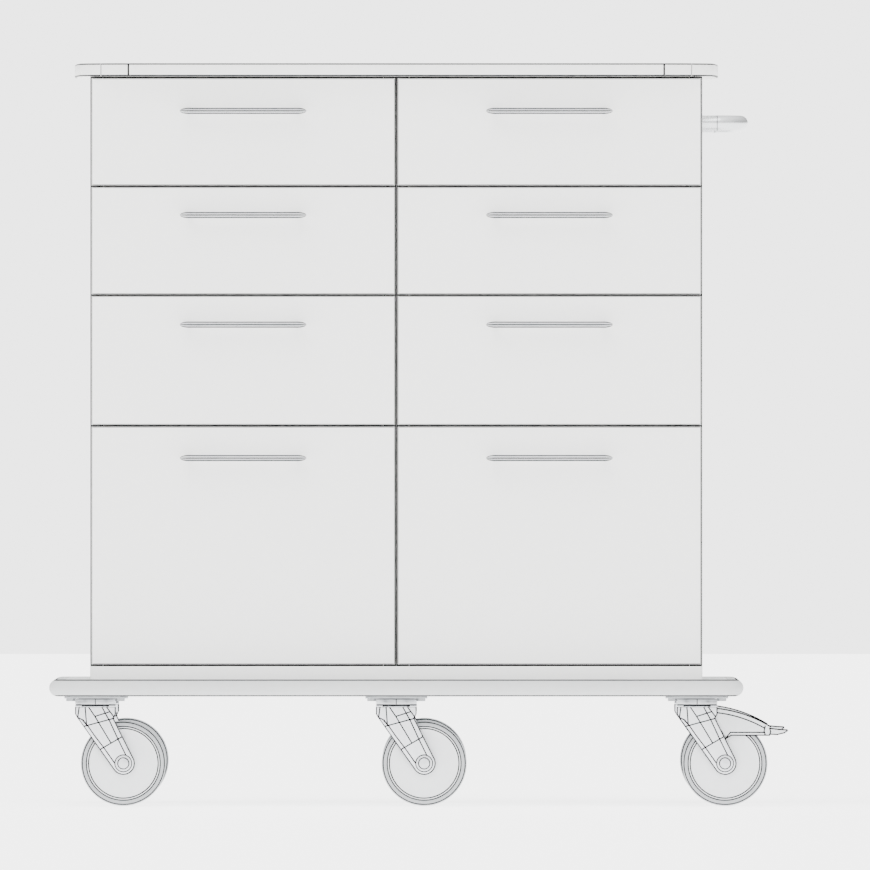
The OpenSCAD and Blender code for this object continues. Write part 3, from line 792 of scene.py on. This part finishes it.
def add_line(bm, x0, y, side, points, mat=1):
    """A thin dark strip of painted shade along a run of (x, z) points on a face at y, standing proud by a hair."""
    half = CREASE_W / 2
    for (ax, az), (bx, bz) in zip(points, points[1:]):
        length = math.hypot(bx - ax, bz - az)
        dx, dz = (bx - ax) / length * half, (bz - az) / length * half
        corners = [(ax - dx - dz, az - dz + dx), (bx + dx - dz, bz + dz + dx),
                   (bx + dx + dz, bz + dz - dx), (ax - dx + dz, az - dz - dx)]
        low = [bm.verts.new((x0 + x, y - side * CREASE_SINK, z)) for x, z in corners]
        top = [bm.verts.new((x0 + x, y + side * CREASE_LIFT, z)) for x, z in corners]
        bm.faces.new(top).material_index = mat
        bm.faces.new(list(reversed(low))).material_index = mat
        for i in range(4):
            j = (i + 1) % 4
            bm.faces.new((low[i], low[j], top[j], top[i])).material_index = mat


def add_leg(bm, x0, y0, side):
    """A pressed leg with dark painted shade on the bevel round its outside face and the creases of its pressing.
    """
    loops = [[bm.verts.new((x0 + x, y0 + side * y, z)) for x, z in leg_outline(inset)]
             for inset, y in LEG_BEVEL]
    for k, (a, b) in enumerate(zip(loops, loops[1:])):
        for i in range(len(a)):
            j = (i + 1) % len(a)
            bm.faces.new((a[i], a[j], b[j], b[i])).material_index = k
    bm.faces.new(loops[0])
    bm.faces.new(loops[-1])
    for line in LEG_CREASES:
        points = [(x * MM, z * MM) for x, z in line]
        add_line(bm, x0, y0 + side * LEG_OUT, side, points)


def head_lines(bm, x0, y0):
    """The seam of the swivel head, front and back, drawn as dark strips of painted shade."""
    for side in (-1, 1):
        y = y0 + side * HEAD_R
        add_box(bm, (x0 - HEAD_SEAM / 2, y - CREASE_SINK, HEAD_Z + 1.5 * MM),
                (x0 + HEAD_SEAM / 2, y + CREASE_SINK, HEAD_TOP_Z - 1.2 * MM), mat=1)


def caster_fork(name):
    node = name + "_fork"
    x0, y0 = swivel_axis(name)
    axle = (x0 + TRAIL, y0, AXLE_Z)
    bm = bmesh.new()
    for side in (-1, 1):
        add_leg(bm, x0, y0, side)
    crown_y = LEG_OUT - CROWN_IN
    add_box(bm, (x0 - HEAD_R, y0 - crown_y, CROWN_Z), (x0 + HEAD_R, y0 + crown_y, HEAD_Z),
            CROWN_ROUND)
    # The cup's rounded top edge and the steps of the groove round it are near-black painted shade
    add_turned(bm, HEAD_CUP, (x0, y0, 0), axis="Z", marks=(3, 5, 6, 7))
    head_lines(bm, x0, y0)
    for side in (-1, 1):
        # The chamfers of the axle heads and washers are near-black painted shade
        add_turned(bm, AXLE_HEAD, axle, side, segments=48, marks=(2,))
        add_turned(bm, AXLE_WASHER, axle, side, segments=48, marks=(2,))
        add_turned(bm, AXLE_SPACER, axle, side, segments=48)
    pin = [(AXLE_CORE_R, -LEG_IN), (AXLE_R, -LEG_IN), (AXLE_R, LEG_IN), (AXLE_CORE_R, LEG_IN)]
    add_lathe(bm, pin, axle, segments=32)
    piece(node + "_pressing", bm, BODY_OF[node], ("zinc", "crease"), [node])


def mirrored(half):
    """A wheel's profile from its near half, in millimetres."""
    return half + [(r, -t) for r, t in reversed(half)]


def caster_wheel(name):
    node = name + "_wheel"
    body = BODY_OF[node]
    x0, y0 = swivel_axis(name)
    centre = (x0 + TRAIL, y0, AXLE_Z)
    rim = mirrored([RIM_BORE, *HALF_RIM])
    n = len(HALF_RIM)
    bm = bmesh.new()
    # The marked rings of the rim and tyre, and the whole ring in the gap between them, are near-black painted
    # shade at their grooves and shoulders
    add_turned(bm, rim, centre, marks=(6, 7, n, 2 * n - 6, 2 * n - 7))
    add_turned(bm, RIM_GAP, centre, mat=1)
    piece(node + "_rim", bm, body, ("rim", "crease"), smooth_deg=24)
    n = len(HALF_TYRE)
    bm = bmesh.new()
    add_turned(bm, mirrored(list(HALF_TYRE)), centre,
               marks=(0, 5, 6, 2 * n - 2, 2 * n - 7, 2 * n - 8, 2 * n - 1))
    piece(node + "_tyre", bm, body, ("tyre", "crease"), [node], smooth_deg=24)


def pedal_lines(name):
    """Painted shade along the folds of the pedal's channel, its hem, its end cap and its toe pad, on both sides.
    """
    node = name + "_brake_pedal"
    x0, y0 = swivel_axis(name)
    lines = [arc(*PEDAL_CENTRE, PEDAL_R - inset, a0, a1, 26) for inset, a0, a1 in PEDAL_RUNS]
    lines += [[(x * MM, z * MM) for x, z in line] for line in PEDAL_CREASES]
    bm = bmesh.new()
    for side in (-1, 1):
        for points in lines:
            add_line(bm, x0, y0 + side * PEDAL_HALF, side, points, mat=0)
    piece(node + "_lines", bm, node, ("crease",))


def casters():
    for name in CASTERS:
        if name.endswith("right"):
            pedal_lines(name)
        caster_fork(name)
        caster_wheel(name)


# ---- CAD nodes that stay as they are, with a finish and softened edges ----

def keep(node, mat, r):
    obj = NODES[node]
    obj.data.materials.clear()
    obj.data.materials.append(MATS[mat])
    weld = obj.modifiers.new("weld", "WELD")
    weld.merge_threshold = 1e-6
    bevel = obj.modifiers.new("bevel", "BEVEL")
    bevel.width = r
    bevel.segments = 2
    bevel.limit_method = "ANGLE"
    bevel.angle_limit = math.radians(35)
    bevel.harden_normals = False


def kept_nodes():
    keep("base_board", "base", 0.8 * MM)
    keep("cabinet_fasteners", "screw", 0.3 * MM)
    keep("cabinet_runner_members", "runner", 0.2 * MM)
    keep("caster_mounts", "plate", 0.5 * MM)
    for name in DRAWERS:
        keep(name + "_middle_runners", "runner", 0.2 * MM)
    for name in CASTERS:
        if name.endswith("right"):
            keep(name + "_brake_pedal", "pedal", 0.5 * MM)


camera()
room()
sun()
floor()
cabinet()
worktop()
bumper()
drawers()
push_handle()
casters()
kept_nodes()
